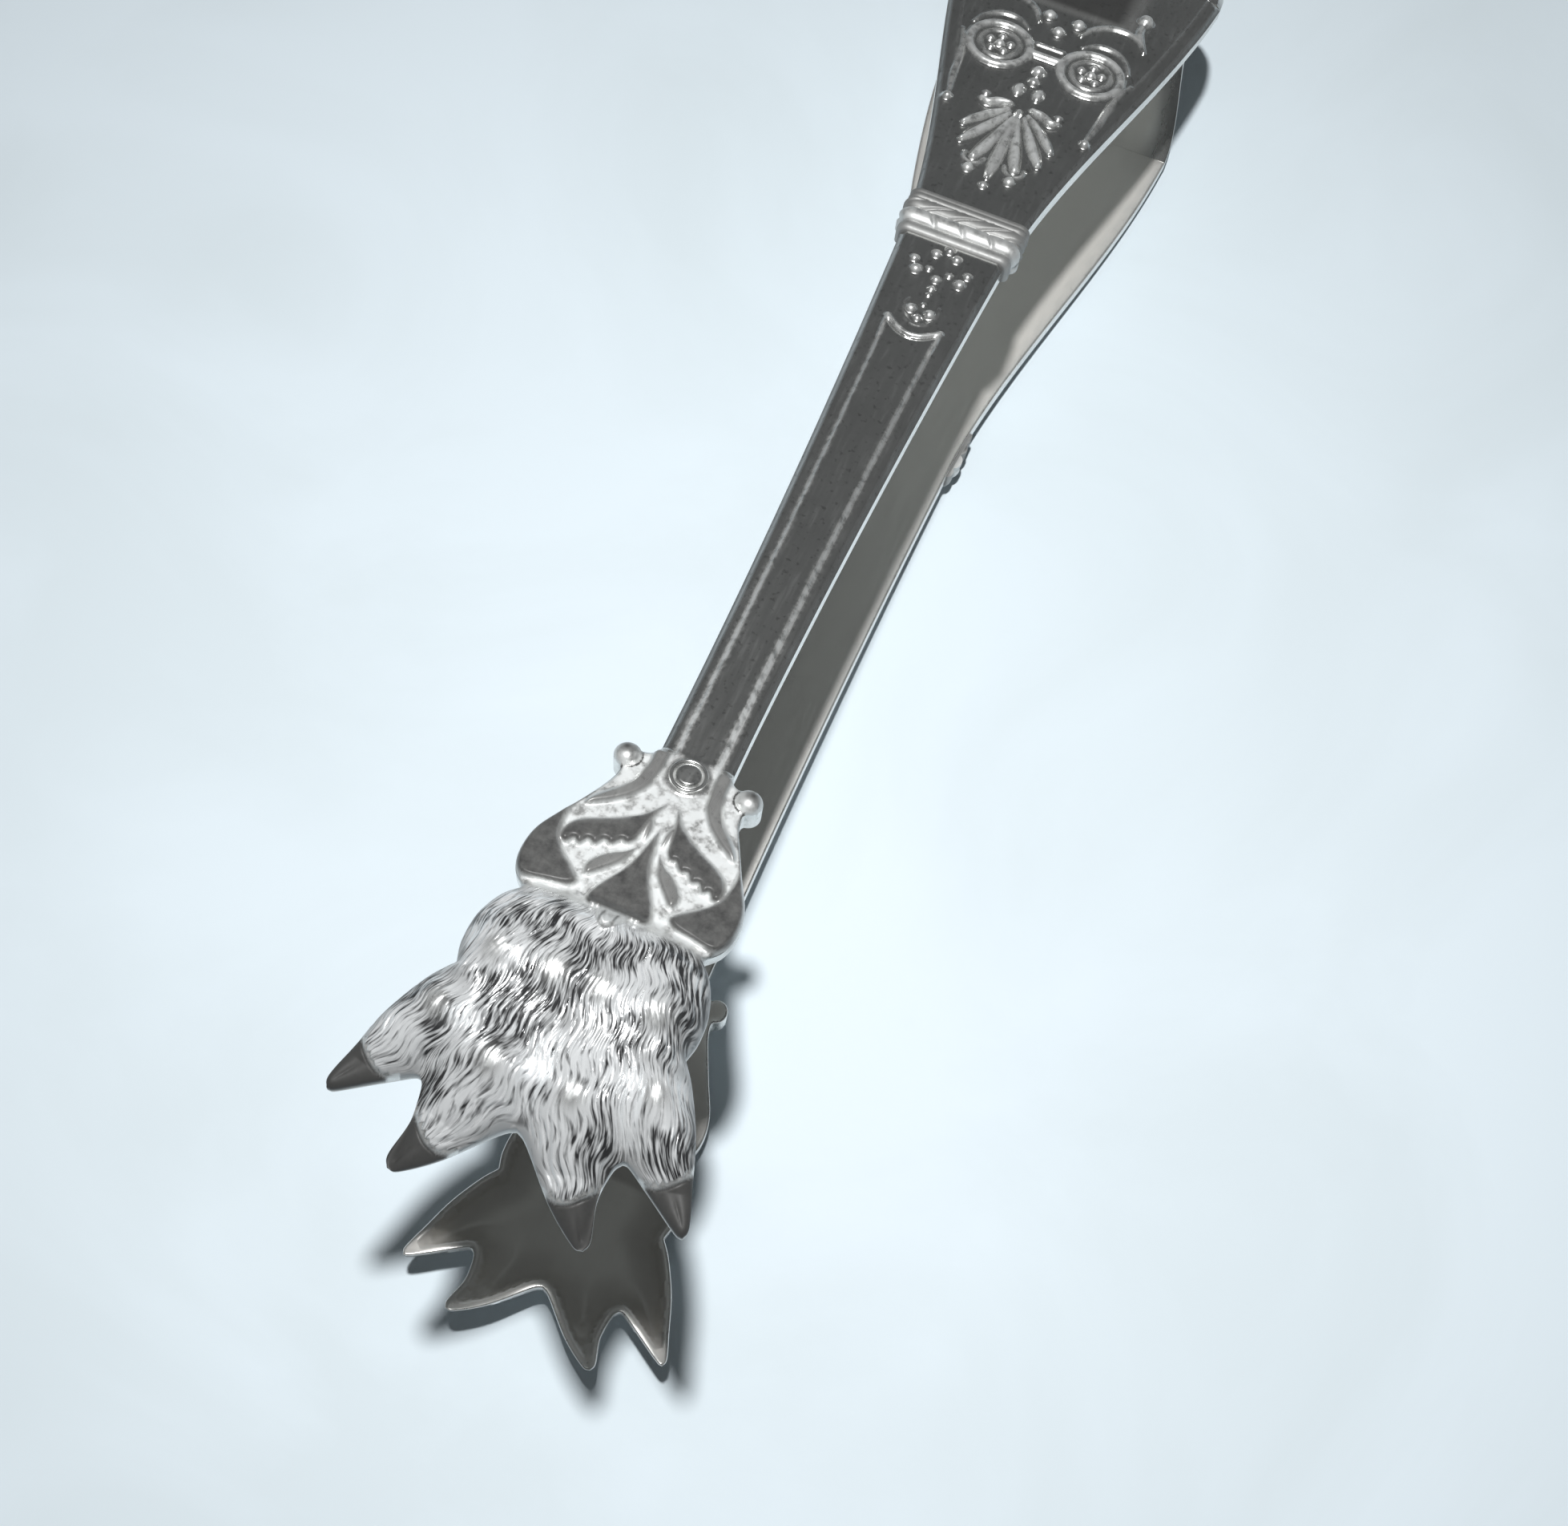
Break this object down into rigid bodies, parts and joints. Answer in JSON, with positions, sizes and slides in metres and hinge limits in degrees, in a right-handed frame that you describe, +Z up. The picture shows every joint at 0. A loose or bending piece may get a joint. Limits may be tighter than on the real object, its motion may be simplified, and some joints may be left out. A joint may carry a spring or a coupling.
{
  "type": "sugar tongs",
  "caption": "Silver sugar tongs: two tapered arms with reeded collars end in clawed furry paws and are held apart by a wide sprung bow.",
  "frame": {"origin": "The middle of the bounding box in X and Y, on the table plane that the tongs lie on.", "axes": "+Z is up from the table. +Y runs along the tongs from the claws to the crown of the bow. X runs across the arms, which are mirror images of themselves about X = 0."},
  "size_m": [0.0236, 0.1326, 0.0575],
  "materials": {
    "silver_spring": "polished silver",
    "silver_arm": "polished silver",
    "silver_band": "polished silver",
    "silver_cast": "chased cast silver",
    "silver_rivet": "polished silver"
  },
  "bodies": {
    "bow": {"bow_spring": "silver_spring"},
    "upper_side": {"upper_arm": "silver_arm", "upper_collar": "silver_band", "upper_paw": "silver_cast", "upper_rivet": "silver_rivet"},
    "lower_side": {"lower_arm": "silver_arm", "lower_collar": "silver_band", "lower_paw": "silver_cast", "lower_rivet": "silver_rivet"}
  },
  "joints": [
    {"name": "upper_squeeze", "type": "hinge", "parent": "bow", "child": "upper_side", "pos_m": [0, 0.05569, 0.0106], "axis": [1, 0, 0], "range_deg": [0, 10.3], "stiffness_Nm_per_rad": 2, "deforming": ["bow_spring"]},
    {"name": "lower_squeeze", "type": "hinge", "parent": "bow", "child": "lower_side", "pos_m": [0, 0.05569, 0.0106], "axis": [-1, 0, 0], "range_deg": [0, 10.3], "stiffness_Nm_per_rad": 2, "deforming": ["bow_spring"]}
  ],
  "couplings": [
    {"joint": "lower_squeeze", "follows": "upper_squeeze", "ratio": 1}
  ]
}
